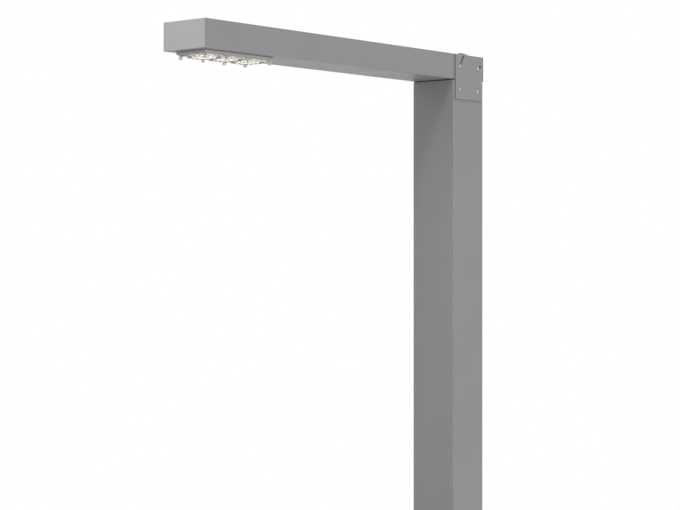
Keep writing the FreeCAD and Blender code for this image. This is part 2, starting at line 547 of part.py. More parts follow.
def make_arm():
    mid = ARM_MIDDLE
    length = ARM_END - ARM_TIP - ARM_WALL
    start = V(ARM_TIP + ARM_WALL, 0, mid)
    outer = rounded_bar(start, Y, Z, ARM_HALF, ARM_HEIGHT / 2, ARM_RADIUS, X * length)
    inner = block(ARM_TIP, HALF + 5, -ARM_INNER, ARM_INNER, ARM_BOTTOM + ARM_WALL, OVERALL_HEIGHT - ARM_WALL)
    body = outer.cut(inner)
    ports, holes = [], []
    for sy, z in CAP_SCREWS:
        y = sy * (ARM_INNER - 6)
        ports.append(block(ARM_END - 30, ARM_END, *sorted((sy * ARM_INNER, y - sy * 6)), z - 6.2, z + 6.2))
        holes.append(rod(2.1, V(ARM_END - 26, y, z), V(ARM_END + 5, y, z)))
    body = fused([body] + ports)
    for hole in holes:
        body = body.cut(hole)
    opening = block(MODULE_MID - NECK_LENGTH / 2 - 1, MODULE_MID + NECK_LENGTH / 2 + 1,
                    -NECK_WIDTH / 2 - 1, NECK_WIDTH / 2 + 1, ARM_BOTTOM - 5, ARM_BOTTOM + ARM_WALL + 1)
    body = body.cut(opening)
    hole_low = V(CABLE_HOLE_X, 0, ARM_BOTTOM - 5)
    body = body.cut(rod(CABLE_HOLE_R, hole_low, hole_low + Z * 15))
    for side in (-1, 1):
        for place in plate_bolt_places(side)[1]:
            body = body.cut(rod(CLEAR_R, place - Y * 10, place + Y * 10))
    for place in module_screw_places():
        body = body.cut(rod(1.9 + FIT, place - Z * 5, place + Z * 20))
    save("arm_body", body)

    tip = rounded_bar(V(ARM_TIP, 0, mid), Y, Z, ARM_HALF, ARM_HEIGHT / 2, ARM_RADIUS, X * ARM_WALL)
    outside = [e for e in tip.Edges if abs(e.CenterOfMass.x - ARM_TIP) < 0.01]
    save("arm_tip_plate", tip.makeFillet(1.2, outside))

    cap = rounded_bar(V(HALF, 0, mid), Y, Z, ARM_HALF, ARM_HEIGHT / 2, ARM_RADIUS, X * REAR_CAP_THICK)
    screws = []
    for sy, z in CAP_SCREWS:
        seat = V(HALF + REAR_CAP_THICK, sy * (ARM_INNER - 6), z)
        cap = cap.cut(rod(2.2, seat - X * 10, seat + X))
        cap = cap.cut(Part.makeCone(4.4, 2.0, 2.4, seat, X * -1))
        screws.append(countersunk(seat - X * 0.1, X, 2.0, 22.0, 4.1))
    save("rear_cap", cap)
    save("rear_cap_screws", *screws)
    squeeze = X * (HALF - ARM_END)
    inside_y = ARM_INNER - 1
    gasket = rounded_bar(V(ARM_END, 0, mid), Y, Z, ARM_HALF - 1, ARM_HEIGHT / 2 - 1, 2.0, squeeze)
    gasket = gasket.cut(block(0, HALF + 5, -inside_y, inside_y, ARM_BOTTOM + 5, OVERALL_HEIGHT - 5))
    ears = []
    for sy, z in CAP_SCREWS:
        at = V(ARM_END, sy * (ARM_INNER - 6), z)
        ears.append(ring(5.6, 2.2, at, at + squeeze))
    gasket = fused([gasket, *ears])
    for sy, z in CAP_SCREWS:
        at = V(ARM_END - 1, sy * (ARM_INNER - 6), z)
        gasket = gasket.cut(rod(2.2, at, at + X * 5))
    save("rear_cap_gasket", gasket)


def make_gear():
    """The tray that slides out of the arm's rear end, with the driver, surge protector and terminals."""
    floor = ARM_BOTTOM + ARM_WALL
    tray = block(TRAY_X0, TRAY_X1, -TRAY_HALF, TRAY_HALF, floor, TRAY_TOP + 4)
    inside_y = TRAY_HALF - 2
    tray = tray.cut(block(TRAY_X0 - 1, TRAY_X1 + 1, -inside_y, inside_y, TRAY_TOP, TRAY_TOP + 5))
    tray = tray.cut(rod(CABLE_HOLE_R + 6, V(CABLE_HOLE_X, 0, floor - 1), V(CABLE_HOLE_X, 0, TRAY_TOP + 1)))
    places = [V(x, y, TRAY_TOP + 3) for x in (DRIVER_X0 - 6, DRIVER_X1 + 6) for y in (-5.5, 5.5)]
    for place in places:
        tray = tray.cut(rod(2.0 + FIT, place - Z * 10, place + Z * 5))
    save("gear_tray", tray)

    width, height = 34.0, 36.0
    body = rounded_bar(V(DRIVER_X0 + 12, 0, TRAY_TOP + height / 2), Y, Z, width, height / 2, 4.0,
                       X * (DRIVER_X1 - DRIVER_X0 - 24))
    ends = [rounded_bar(V(a, 0, TRAY_TOP + height / 2 - 1), Y, Z, width - 2, height / 2 - 2, 4.0, X * 12)
            for a in (DRIVER_X0, DRIVER_X1 - 12)]
    feet = [block(a, a + 22, -9, 9, TRAY_TOP, TRAY_TOP + 3) for a in (DRIVER_X0 - 12, DRIVER_X1 - 10)]
    driver = fused([body] + ends + feet)
    for place in places:
        driver = driver.cut(rod(2.2, place - Z * 5, place + Z * 5))
    save("led_driver", driver)
    save("driver_screws", *[pan_screw(p, Z, 2.0, 4.5, 3.4, 2.6) for p in places])

    surge = rounded_bar(V(-350, 32, TRAY_TOP), X, Y, 30, 20, 3.0, Z * 26)
    top_edges = [e for e in surge.Edges if abs(e.CenterOfMass.z - TRAY_TOP - 26) < 0.1]
    save("surge_protector", surge.makeFillet(2.0, top_edges))
    poles = []
    for k in range(3):
        y0 = -21 + 14.2 * k
        pole = block(TERMINAL_X0, TERMINAL_X1, y0, y0 + 13.6, TRAY_TOP, TRAY_TOP + 22)
        for x in (TERMINAL_X0 + 14, TERMINAL_X1 - 14):
            pole = pole.cut(rod(2.4, V(x, y0 + 6.8, TRAY_TOP + 14), V(x, y0 + 6.8, TRAY_TOP + 23)))
        poles.append(pole)
    save("arm_terminals", *poles)


# ---- the LED module -----------------------------------------------------------------------------------
def module_screw_places():
    """Screws through the flange's two ends into the arm's floor, as points at the floor's underside."""
    return [V(x, y, ARM_BOTTOM) for x in (MODULE_X0 + 5.4, MODULE_X1 - 5.4) for y in (-25.0, 25.0)]


def make_module():
    """The heat sink: a flange with pillars under the arm, and a neck with fins inside the arm."""
    half = NECK_LENGTH / 2
    flange = rounded_bar(V(MODULE_MID, 0, FLANGE_BOTTOM), X, Y, MODULE_LENGTH / 2, MODULE_WIDTH / 2, 2.5,
                         Z * MODULE_FLANGE)
    flange = flange.makeFillet(0.8, [e for e in flange.Edges if abs(e.CenterOfMass.z - FLANGE_BOTTOM) < 0.01])
    fins_low = ARM_BOTTOM + 6
    pieces = [flange, slab(MODULE_MID, half, NECK_WIDTH / 2, FLANGE_TOP, fins_low)]
    pitch = (NECK_WIDTH - FIN_THICK) / (FIN_COUNT - 1)
    for k in range(FIN_COUNT):
        y = -NECK_WIDTH / 2 + k * pitch
        fin = block(MODULE_MID - half, MODULE_MID + half, y, y + FIN_THICK, fins_low, ARM_BOTTOM + FIN_TOP)
        pieces.append(fin)
    for x in BOSS_XS:
        for y in (-BOSS_Y, BOSS_Y):
            pieces.append(rod(PILLAR_R, V(x, y, TILE_BOTTOM), V(x, y, FLANGE_BOTTOM + 1)))
    body = fused(pieces)
    for x in TILE_XS:
        pocket_top = FLANGE_BOTTOM + POCKET_DEPTH
        body = body.cut(slab(x, POCKET_HALF_X, POCKET_HALF_Y, FLANGE_BOTTOM - 1, pocket_top))
    for x in BOSS_XS:
        for y in (-BOSS_Y, BOSS_Y):
            body = body.cut(rod(2.0 + FIT, V(x, y, TILE_BOTTOM - 1), V(x, y, FLANGE_TOP - 1)))
    for place in module_screw_places():
        low = V(place.x, place.y, FLANGE_BOTTOM)
        body = body.cut(rod(2.1, low - Z, place))
        body = body.cut(Part.makeCone(3.4, 1.9, 1.5, low, Z))
    save("module_body", body)
    save("module_screws", *[countersunk(V(p.x, p.y, FLANGE_BOTTOM + 0.1), Z * -1, 1.9, 13.5, 3.2)
                            for p in module_screw_places()])

    gasket = rounded_bar(V(MODULE_MID, 0, FLANGE_TOP), X, Y, MODULE_LENGTH / 2 - 2, MODULE_WIDTH / 2 - 2, 2.0,
                         Z * MODULE_GASKET)
    gasket = gasket.cut(slab(MODULE_MID, half, NECK_WIDTH / 2, FLANGE_TOP - 1, FLANGE_TOP + 2))
    for place in module_screw_places():
        gasket = gasket.cut(rod(2.2, place - Z * 3, place + Z * 3))
    save("module_gasket", gasket)

    entry = V(MODULE_MID + half, 0, TRAY_TOP + 17)
    end = V(MODULE_X1 + GLAND_REACH, 0, entry.z)
    save("module_gland", fused([rod(6.0, entry, end), hexagon(entry + X * 4, X, Z, 14.0, 6.0)]))


def lens_places(tile_x):
    """The centres of one tile's lenses, LENS_ROWS by LENS_ROWS."""
    steps = [k - (LENS_ROWS - 1) / 2 for k in range(LENS_ROWS)]
    return [(tile_x + a * LENS_PITCH_X, b * LENS_PITCH_Y) for a in steps for b in steps]


def cap_below(x, y, z, radius, height):
    """A spherical cap that hangs below height z, as wide as radius at its root."""
    ball = (radius**2 + height**2) / (2 * height)
    sphere = Part.makeSphere(ball, V(x, y, z - height + ball))
    return sphere.common(block(x - 50, x + 50, y - 50, y + 50, z - height - 1, z))


def make_optics():
    boards, chips, gaskets = [], [], []
    board_low = FLANGE_BOTTOM + POCKET_DEPTH - BOARD_THICK
    for number, x in enumerate(TILE_XS, 1):
        board_top = board_low + BOARD_THICK
        boards.append(slab(x, POCKET_HALF_X - 0.5, POCKET_HALF_Y - 0.5, board_low, board_top))
        half = CHIP_SIZE / 2
        tile = slab(x, (TILE_PITCH - TILE_GAP) / 2, TILE_WIDTH / 2, TILE_BOTTOM, FLANGE_BOTTOM)
        domes, cavities = [], []
        for lx, ly in lens_places(x):
            chips.append(block(lx - half, lx + half, ly - half, ly + half, board_low - CHIP_THICK, board_low))
            for s in (-1, 1):
                domes.append(cap_below(lx, ly + s * LENS_SPLIT, TILE_BOTTOM, LENS_R, LENS_HEIGHT))
            cavities.append(cap_below(lx, ly, FLANGE_BOTTOM, 3.4, 2.6))
        tile = fused([tile] + domes)
        for cavity in cavities:
            tile = tile.cut(cavity)
        for bx in (x - TILE_PITCH / 2, x + TILE_PITCH / 2):
            for y in (-BOSS_Y, BOSS_Y):
                notch_low = V(bx, y, TILE_BOTTOM - 1)
                tile = tile.cut(rod(PILLAR_R + 0.3, notch_low, notch_low + Z * (TILE_THICK + 2)))
        save("lens_tile_%d" % number, tile)
        ring_out = slab(x, POCKET_HALF_X, POCKET_HALF_Y, FLANGE_BOTTOM, FLANGE_BOTTOM + 0.9)
        ring_in = slab(x, POCKET_HALF_X - 2, POCKET_HALF_Y - 2, FLANGE_BOTTOM - 1, FLANGE_BOTTOM + 2)
        gaskets.append(ring_out.cut(ring_in))
    save("led_boards", *boards)
    save("led_chips", *chips)
    save("lens_gaskets", *gaskets)
    caps, screws = [], []
    for x in BOSS_XS:
        for y in (-BOSS_Y, BOSS_Y):
            foot, end = V(x, y, TILE_BOTTOM), V(x, y, TILE_BOTTOM - BOSS_HEIGHT)
            cap = Part.makeCone(BOSS_R, BOSS_R - 0.9, BOSS_HEIGHT, foot, Z * -1)
            seat = foot - Z * CLAMP_SEAT
            cap = cap.cut(rod(2.1, foot + Z, end - Z)).cut(rod(CLAMP_HEAD_R + 0.2, seat, end - Z))
            caps.append(cap)
            screws.append(cap_screw(seat, Z * -1, 2.0, 11.0, CLAMP_HEAD_R, CLAMP_HEAD_H))
    save("lens_clamp_caps", *caps)
    save("lens_screws", *screws)


def main():
    os.makedirs("parts", exist_ok=True)
    make_base()
    make_post()
    make_grommet("post_grommet", POST_TOP - 4, POST_TOP, 2.0, 1.2)
    make_grommet("arm_grommet", ARM_BOTTOM, ARM_BOTTOM + ARM_WALL, 1.0, 2.0)
    make_joint_hardware()
    make_door()
    make_post_insides()
    make_arm()
    make_gear()
    make_cables()
    make_module()
    make_optics()


main()
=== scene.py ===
"""Looks for the street lamp post: powder-coated steel and aluminium, clear lens tiles over warm white LEDs.

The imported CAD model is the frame. Pieces whose edges or surfaces need more than CAD gives are rebuilt here as
meshes that replace their node. Everything is in metres, in the frame's own axes: +Z up, the arm towards -X.
"""

import json
import math

import bmesh
import bpy
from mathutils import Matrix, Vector


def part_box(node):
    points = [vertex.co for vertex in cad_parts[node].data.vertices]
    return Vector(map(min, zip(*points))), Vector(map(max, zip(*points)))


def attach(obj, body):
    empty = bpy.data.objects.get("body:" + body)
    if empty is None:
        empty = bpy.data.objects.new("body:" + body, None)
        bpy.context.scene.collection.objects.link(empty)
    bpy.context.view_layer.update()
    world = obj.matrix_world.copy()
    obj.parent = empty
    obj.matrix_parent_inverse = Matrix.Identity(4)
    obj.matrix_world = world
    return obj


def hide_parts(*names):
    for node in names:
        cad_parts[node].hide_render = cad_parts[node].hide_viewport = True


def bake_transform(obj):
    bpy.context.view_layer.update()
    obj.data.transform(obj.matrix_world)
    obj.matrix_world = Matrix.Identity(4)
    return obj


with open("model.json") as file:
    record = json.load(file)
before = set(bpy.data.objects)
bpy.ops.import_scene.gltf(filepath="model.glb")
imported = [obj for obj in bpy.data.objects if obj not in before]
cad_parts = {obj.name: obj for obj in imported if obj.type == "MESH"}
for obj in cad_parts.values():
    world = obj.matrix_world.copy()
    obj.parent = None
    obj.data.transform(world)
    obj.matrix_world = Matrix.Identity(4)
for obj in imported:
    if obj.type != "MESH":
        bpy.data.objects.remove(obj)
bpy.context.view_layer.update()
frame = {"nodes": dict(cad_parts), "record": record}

MM = 0.001
NODES = frame["nodes"]
BODY_OF = {n: body for body, names in frame["record"]["behaviour"]["bodies"].items() for n in names}
SLOT_OF = {s["node"]: s["material_slot"] for s in frame["record"]["subparts"]}


# ---- camera, lights and floor ---------------------------------------------------------------------------
def make_camera():
    """A level camera at the height of the arm, with the arm's tip to its left."""
    data = bpy.data.cameras.new("camera")
    data.sensor_width = 36.0
    data.lens = 92.64
    data.shift_x = 0.0006
    data.shift_y = -0.0079
    data.clip_end = 200.0
    camera = bpy.data.objects.new("camera", data)
    camera.location = (-4.272, -3.165, 3.4165)
    camera.rotation_euler = (math.radians(90), 0, math.radians(-49.92))
    bpy.context.scene.collection.objects.link(camera)
    bpy.context.scene.camera = camera


def area_light(name, place, aim, size, power, spread=180):
    """A softbox at place, turned towards aim. Spread is its beam angle in degrees."""
    data = bpy.data.lights.new(name, "AREA")
    data.shape = "RECTANGLE"
    data.size, data.size_y = size
    data.energy = power
    data.spread = math.radians(spread)
    light = bpy.data.objects.new(name, data)
    light.location = place
    light.rotation_euler = (Vector(aim) - Vector(place)).to_track_quat("-Z", "Y").to_euler()
    bpy.context.scene.collection.objects.link(light)


def make_studio():
    scene = bpy.context.scene
    scene.view_settings.view_transform = "Standard"
    world = bpy.data.worlds.new("studio")
    world.use_nodes = True
    world.node_tree.nodes["Background"].inputs["Color"].default_value = (1, 1, 1, 1)
    world.node_tree.nodes["Background"].inputs["Strength"].default_value = 1.0
    scene.world = world
    area_light("key", (-9.1, -6.3, 17.6), (-0.1, 0.0, 3.4), (3.6, 3.6), 1400.0)
    area_light("tip_side", (-2.355, 1.053, 5.097), (-1.11, 0.0, 3.95), (0.3, 0.3), 1.6, 28)
    area_light("front", (-0.8, -7.0, 3.6), (-0.3, 0.0, 2.6), (2.4, 2.4), 175.0)

    mesh = bpy.data.meshes.new("floor")
    half, cells = 9.0, 12
    work = bmesh.new()
    bmesh.ops.create_grid(work, x_segments=cells, y_segments=cells, size=half)
    work.to_mesh(mesh)
    work.free()
    floor = bpy.data.objects.new("floor", mesh)
    scene.collection.objects.link(floor)
    floor.data.materials.append(floor_material())


# ---- building materials from nodes ----------------------------------------------------------------------
class Shader:
    """A material's node tree with a Principled shader, and short ways to add texture nodes to it."""

    def __init__(self, name, colour, roughness, metallic=0.0):
        self.material = bpy.data.materials.new(name)
        self.material.use_nodes = True
        self.tree = self.material.node_tree
        self.shader = self.tree.nodes["Principled BSDF"]
        self.set("Base Color", (*colour, 1))
        self.set("Roughness", roughness)
        self.set("Metallic", metallic)
        self.place = self.add("ShaderNodeTexCoord").outputs["Object"]

    def add(self, kind, **settings):
        node = self.tree.nodes.new(kind)
        for key, value in settings.items():
            setattr(node, key, value)
        return node

    def set(self, socket, value):
        self.shader.inputs[socket].default_value = value

    def join(self, output, node, socket):
        if output is not None:
            self.tree.links.new(output, node.inputs[socket])

    def drive(self, socket, output):
        self.join(output, self.shader, socket)

    def stretched(self, x, y, z):
        """The object's own coordinates, scaled along each axis."""
        node = self.add("ShaderNodeMapping")
        node.inputs["Scale"].default_value = (x, y, z)
        self.join(self.place, node, "Vector")
        return node.outputs["Vector"]

    def noise(self, size, detail=4.0, rough=0.5, at=None):
        """Noise whose features are about size metres across."""
        node = self.add("ShaderNodeTexNoise")
        node.inputs["Scale"].default_value = 1.0 / size
        node.inputs["Detail"].default_value = detail
        node.inputs["Roughness"].default_value = rough
        self.join(at or self.place, node, "Vector")
        return node.outputs["Fac"]

    def cells(self, size, feature="F1", randomness=1.0, at=None):
        node = self.add("ShaderNodeTexVoronoi", feature=feature)
        node.inputs["Scale"].default_value = 1.0 / size
        node.inputs["Randomness"].default_value = randomness
        self.join(at or self.place, node, "Vector")
        return node.outputs["Distance"]

    def scaled(self, value, low, high, to_low=0.0, to_high=1.0):
        """Maps low..high of a value to to_low..to_high, and holds it there outside."""
        node = self.add("ShaderNodeMapRange")
        limits = {"From Min": low, "From Max": high, "To Min": to_low, "To Max": to_high}
        for socket, number in limits.items():
            node.inputs[socket].default_value = number
        self.join(value, node, "Value")
        return node.outputs["Result"]

    def maths(self, operation, a, b):
        node = self.add("ShaderNodeMath", operation=operation)
        for k, value in enumerate((a, b)):
            if isinstance(value, (int, float)):
                node.inputs[k].default_value = value
            else:
                self.tree.links.new(value, node.inputs[k])
        return node.outputs[0]

    def blend(self, amount, a, b):
        """A colour between a and b. Each is a colour or a socket."""
        node = self.add("ShaderNodeMix", data_type="RGBA")
        self.tree.links.new(amount, node.inputs[0])
        for k, value in ((6, a), (7, b)):
            if isinstance(value, tuple):
                node.inputs[k].default_value = (*value, 1)
            else:
                self.tree.links.new(value, node.inputs[k])
        return node.outputs[2]

    def bump(self, height, distance, strength=1.0):
        """Adds a bump of that depth in metres on top of what the normal already has."""
        node = self.add("ShaderNodeBump")
        node.inputs["Strength"].default_value = strength
        node.inputs["Distance"].default_value = distance
        self.join(height, node, "Height")
        before = self.shader.inputs["Normal"].links
        if before:
            self.join(before[0].from_socket, node, "Normal")
        self.drive("Normal", node.outputs["Normal"])

    def facing_up(self):
        """1 on faces that look up, 0 on walls and undersides."""
        normal = self.add("ShaderNodeNewGeometry").outputs["Normal"]
        parts = self.add("ShaderNodeSeparateXYZ")
        self.join(normal, parts, "Vector")
        return self.scaled(parts.outputs["Z"], 0.5, 0.95)


def shade(colour, factor):
    return tuple(min(1.0, c * factor) for c in colour)


def floor_material():
    s = Shader("pale_floor", (0.86, 0.86, 0.85), 0.85)
    s.drive("Base Color", s.blend(s.noise(0.9, 5), (0.84, 0.84, 0.83), (0.88, 0.88, 0.87)))
    s.bump(s.noise(0.004, 3), 0.0002, 0.3)
    return s.material


def powder_coat(name, colour, roughness=0.48, peel=0.0013):
    """Semi-gloss powder coat: orange peel, a fine grain, faint cloudy patches, dust on what looks up."""
    s = Shader(name, colour, roughness)
    cloud = s.scaled(s.noise(0.22, 5, 0.55), 0.3, 0.7)
    base = s.blend(cloud, shade(colour, 0.965), shade(colour, 1.035))
    fleck = s.scaled(s.noise(0.0007, 2, 0.6), 0.62, 0.75)
    base = s.blend(s.maths("MULTIPLY", fleck, 0.35), base, shade(colour, 1.25))
    streak = s.scaled(s.noise(0.05, 4, 0.6, s.stretched(1.0, 1.0, 0.05)), 0.45, 0.8)
    base = s.blend(s.maths("MULTIPLY", streak, 0.10), base, shade(colour, 0.75))
    dust = s.maths("MULTIPLY", s.facing_up(), s.scaled(s.noise(0.035, 6, 0.65), 0.35, 0.75, 0.10, 0.45))
    base = s.blend(dust, base, (0.30, 0.285, 0.26))
    s.drive("Base Color", base)
    smudge = s.scaled(s.noise(0.09, 5, 0.6), 0.3, 0.75, roughness - 0.05, roughness + 0.07)
    s.drive("Roughness", s.maths("ADD", smudge, s.maths("MULTIPLY", dust, 0.5)))
    s.set("IOR", 1.5)
    s.bump(s.noise(peel, 2, 0.45), 0.00005, 0.22)
    s.bump(s.noise(0.00035, 2, 0.5), 0.00002, 0.18)
    return s.material


def metal(name, colour, roughness, grain=(1, 1, 1), grain_size=0.0006, tarnish=0.5):
    """Bare or plated metal with a fine grain, stretched along the axis where grain is small."""
    s = Shader(name, colour, roughness, 1.0)
    lines = s.noise(grain_size, 4, 0.65, s.stretched(*grain))
    patches = s.scaled(s.noise(0.012, 5, 0.6), 0.35, 0.7)
    base = s.blend(patches, shade(colour, 1.0 - 0.16 * tarnish), shade(colour, 1.06))
    s.drive("Base Color", s.blend(s.scaled(lines, 0.3, 0.7, 0.0, 0.3), base, shade(colour, 0.8)))
    s.drive("Roughness", s.scaled(lines, 0.25, 0.75, roughness - 0.06, roughness + 0.10))
    s.bump(lines, 0.00003, 0.3)
    return s.material


def plastic(name, colour, roughness, grain=0.0004, depth=0.00003):
    """Moulded plastic: a spark-eroded grain, slight flow marks and scuffs."""
    s = Shader(name, colour, roughness)
    flow = s.scaled(s.noise(0.03, 4, 0.5, s.stretched(1, 1, 0.3)), 0.3, 0.7)
    s.drive("Base Color", s.blend(flow, shade(colour, 0.95), shade(colour, 1.04)))
    s.drive("Roughness", s.scaled(s.noise(0.006, 5, 0.6), 0.3, 0.75, roughness - 0.06, roughness + 0.08))
    s.bump(s.noise(grain, 2, 0.5), depth, 0.35)
    return s.material


def rubber(name, colour):
    s = Shader(name, colour, 0.7)
    bloom = s.scaled(s.noise(0.01, 5, 0.65), 0.4, 0.75, 0.0, 0.5)
    s.drive("Base Color", s.blend(bloom, colour, tuple(c + 0.035 for c in colour)))
    s.drive("Roughness", s.scaled(s.noise(0.004, 4), 0.3, 0.7, 0.6, 0.85))
    s.bump(s.noise(0.0005, 3), 0.00005, 0.4)
    return s.material


def clear(name, tint, ior, roughness=0.02, swirl_depth=0.00006, haze=0.0, glow=0.0):
    """Clear moulded plastic with faint moulding swirls. Haze makes it milky, glow lights it from inside."""
    s = Shader(name, tint, roughness)
    s.set("Transmission Weight", 1.0 - haze)
    s.set("Emission Color", (1.0, 0.955, 0.89, 1))
    s.set("Emission Strength", glow)
    s.set("IOR", ior)
    swirl = s.noise(0.004, 3, 0.5)
    s.drive("Base Color", s.blend(s.scaled(swirl, 0.3, 0.7), shade(tint, 0.985), tint))
    s.drive("Roughness", s.scaled(s.noise(0.008, 4, 0.6), 0.35, 0.8, roughness, roughness + 0.05))
    s.bump(swirl, swirl_depth, 0.25)
    return s.material


def cable_jacket(name):
    s = Shader(name, (0.025, 0.025, 0.028), 0.5)
    scuff = s.scaled(s.noise(0.003, 5, 0.7), 0.5, 0.8, 0.0, 0.35)
    s.drive("Base Color", s.blend(scuff, (0.022, 0.022, 0.025), (0.09, 0.09, 0.09)))
    s.drive("Roughness", s.scaled(s.noise(0.01, 4), 0.3, 0.7, 0.42, 0.62))
    s.bump(s.noise(0.0012, 3), 0.00006, 0.35)
    return s.material


def circuit_board(name):
    """White solder mask over copper tracks, which show as slightly raised, warmer bands."""
    s = Shader(name, (0.82, 0.82, 0.79), 0.32)
    tracks = s.cells(0.006, "DISTANCE_TO_EDGE", 0.2)
    raised = s.scaled(tracks, 0.06, 0.09)
    s.drive("Base Color", s.blend(raised, (0.70, 0.68, 0.60), (0.83, 0.83, 0.80)))
    s.drive("Roughness", s.scaled(s.noise(0.002, 4), 0.3, 0.7, 0.26, 0.4))
    s.bump(raised, 0.00004, 0.5)
    return s.material


def phosphor(name):
    s = Shader(name, (0.95, 0.80, 0.35), 0.45)
    grain = s.noise(0.0004, 3)
    s.drive("Base Color", s.blend(grain, (0.95, 0.78, 0.30), (0.98, 0.88, 0.50)))
    s.set("Emission Color", (1.0, 0.90, 0.72, 1))
    s.set("Emission Strength", 3.0)
    s.bump(grain, 0.00003, 0.3)
    return s.material


COAT = (0.1510, 0.1463, 0.1515)


def make_materials():
    """One material for each of the record's slots."""
    return {
        "post_coating": powder_coat("post_powder_coat", COAT),
        "arm_coating": powder_coat("arm_powder_coat", COAT),
        "plate_coating": powder_coat("plate_powder_coat", shade(COAT, 1.02), 0.48),
        "module_metal": powder_coat("module_powder_coat", (0.255, 0.247, 0.243), 0.45, 0.0009),
        "stainless": metal("stainless_steel", (0.34, 0.335, 0.33), 0.45),
        "zinc": metal("zinc_plating", (0.62, 0.63, 0.65), 0.34, (1, 1, 1), 0.004, 1.0),
        "lock_metal": metal("dull_chrome", (0.58, 0.58, 0.58), 0.28),
        "brass": metal("machined_brass", (0.72, 0.50, 0.20), 0.28, (1, 1, 0.1)),
        "black_rubber": rubber("black_rubber", (0.018, 0.018, 0.019)),
        "silicone": rubber("pale_silicone", (0.55, 0.55, 0.52)),
        "lens_clear": clear("lens_acrylic", (0.96, 0.945, 0.915), 1.45, 0.05, 0.000008, 0.12, 0.03),
        "clamp_clear": clear("clamp_polycarbonate", (0.95, 0.94, 0.92), 1.45, 0.05, 0.00001, 0.2),
        "board_white": circuit_board("circuit_board"),
        "led_phosphor": phosphor("led_phosphor"),
        "box_grey": plastic("box_plastic", (0.42, 0.43, 0.43), 0.5),
        "lid_clear": clear("lid_polycarbonate", (0.86, 0.89, 0.91), 1.58, 0.05),
        "terminal_plastic": plastic("terminal_polyamide", (0.55, 0.54, 0.46), 0.45),
        "fuse_black": plastic("fuse_phenolic", (0.02, 0.02, 0.02), 0.35),
        "gland_grey": plastic("gland_polyamide", (0.20, 0.21, 0.22), 0.5),
        "cable_jacket": cable_jacket("cable_jacket"),
        "clip_nylon": plastic("clip_nylon", (0.03, 0.03, 0.03), 0.45),
        "driver_case": metal("extruded_aluminium", (0.72, 0.73, 0.74), 0.32, (0.04, 1, 1)),
        "surge_case": plastic("surge_polyamide", (0.72, 0.72, 0.70), 0.4),
    }


# ---- mesh helpers ---------------------------------------------------------------------------------------
WELD_POINTS = 2e-6                   # points closer than this are one
FLAT_WITHIN, SHARP_OVER = 0.6, 32    # degrees between two faces: one plane, or an edge to round off
EDGE_STEPS = 3                       # rows of faces round an edge


def finished(name, work, body, slot, materials, smooth_angle=35):
    """Turns a bmesh into an object with smooth faces and sharp corners, riding on a body."""
    bmesh.ops.recalc_face_normals(work, faces=work.faces)
    mesh = bpy.data.meshes.new(name)
    work.to_mesh(mesh)
    work.free()
    mesh.shade_smooth()
    mesh.set_sharp_from_angle(angle=math.radians(smooth_angle))
    mesh.materials.append(materials[slot])
    piece = bpy.data.objects.new(name, mesh)
    bpy.context.scene.collection.objects.link(piece)
    if body:
        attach(piece, body)
    return piece


def flatten_shading(mesh, same_side=50):
    """Shades flat faces as flat: normals lean to the largest face within same_side degrees."""
    meeting = {}
    for face in mesh.polygons:
        for vertex in face.vertices:
            meeting.setdefault(vertex, []).append(face)
    reach = math.cos(math.radians(same_side))
    normals = []
    for face in mesh.polygons:
        for vertex in face.vertices:
            total = Vector()
            for other in meeting[vertex]:
                if face.normal.dot(other.normal) > reach:
                    total += other.normal * other.area
            normals.append(total.normalized())
    mesh.normals_split_custom_set(normals)


def refined(node, width, materials):
    """A copy of a CAD node with its sharp edges rounded off by width, which then replaces that node."""
    work = bmesh.new()
    work.from_mesh(NODES[node].data)
    bmesh.ops.remove_doubles(work, verts=work.verts, dist=WELD_POINTS)
    bmesh.ops.dissolve_limit(work, angle_limit=math.radians(FLAT_WITHIN), verts=work.verts, edges=work.edges)
    sharp = [e for e in work.edges if e.is_manifold and e.calc_face_angle(0) > math.radians(SHARP_OVER)]
    bmesh.ops.bevel(work, geom=sharp, offset=width, offset_type="OFFSET", segments=EDGE_STEPS, profile=0.5,
                    affect="EDGES", clamp_overlap=True)
    piece = finished(node + "_finish", work, BODY_OF[node], SLOT_OF[node], materials, 40)
    flatten_shading(piece.data)
    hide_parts(node)


# ---- the module's optics -------------------------------------------------------------------------------
LENS_PITCH_X, LENS_PITCH_Y, LENS_COUNT = 16.5 * MM, 17.5 * MM, 4
LENS_R, LENS_SPLIT, LENS_HEIGHT = 6.4 * MM, 2.2 * MM, 5.9 * MM
CAVITY_R, CAVITY_DEPTH = 3.4 * MM, 2.6 * MM
NOTCH_R, BOSS_Y = 3.95 * MM, 44 * MM
TILE_FACE = 6.0 * MM                 # the tile's lower face over its lowest lens
CUP_R = 5.5 * MM
CELL_TURN = 32                       # steps round a lens
DOME_RINGS, CAVITY_RINGS = 9, 5
NOTCH_STEPS = 8


def lens_edge(turn):
    """Half-width of the peanut-shaped root of a lens in one direction: two circles set apart along Y."""
    along = abs(math.sin(turn)) * LENS_SPLIT
    return along + math.sqrt(LENS_R**2 - (math.cos(turn) * LENS_SPLIT)**2)


def lens_drop(part, turn):
    """How far the lens hangs below its tile at a part 0..1 of the way from middle to root."""
    waist = 1.0 - 0.10 * math.exp(-(part / 0.28)**2) * (1.0 - abs(math.sin(turn)) * part)
    return LENS_HEIGHT * waist * math.sqrt(max(0.0, 1.0 - part**2.4))


def cavity_edge(turn):
    return CAVITY_R


def cavity_drop(part, turn):
    """The hollow rises into the tile, so its drop is negative."""
    return -CAVITY_DEPTH * math.sqrt(max(0.0, 1.0 - part**2))


